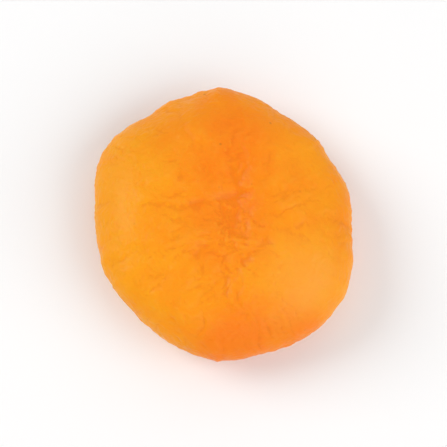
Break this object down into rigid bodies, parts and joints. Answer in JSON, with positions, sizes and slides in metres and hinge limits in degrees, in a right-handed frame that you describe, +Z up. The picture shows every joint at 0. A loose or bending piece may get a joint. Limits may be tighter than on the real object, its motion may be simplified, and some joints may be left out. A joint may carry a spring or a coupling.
{
  "type": "dried apricot",
  "caption": "Whole stoned dried apricot, pressed to a plump wrinkled disc with a hollow in its face and a shut slit at the stem end.",
  "frame": {"origin": "middle of the fruit's plan, on the surface that it rests on", "axes": "+Z up out of the front face, +Y towards the stem end, +X to the right seen from above"},
  "size_m": [0.04, 0.0432, 0.014],
  "materials": {
    "apricot_flesh": "satin"
  },
  "bodies": {
    "root": {"dried_apricot": "apricot_flesh"}
  },
  "joints": []
}
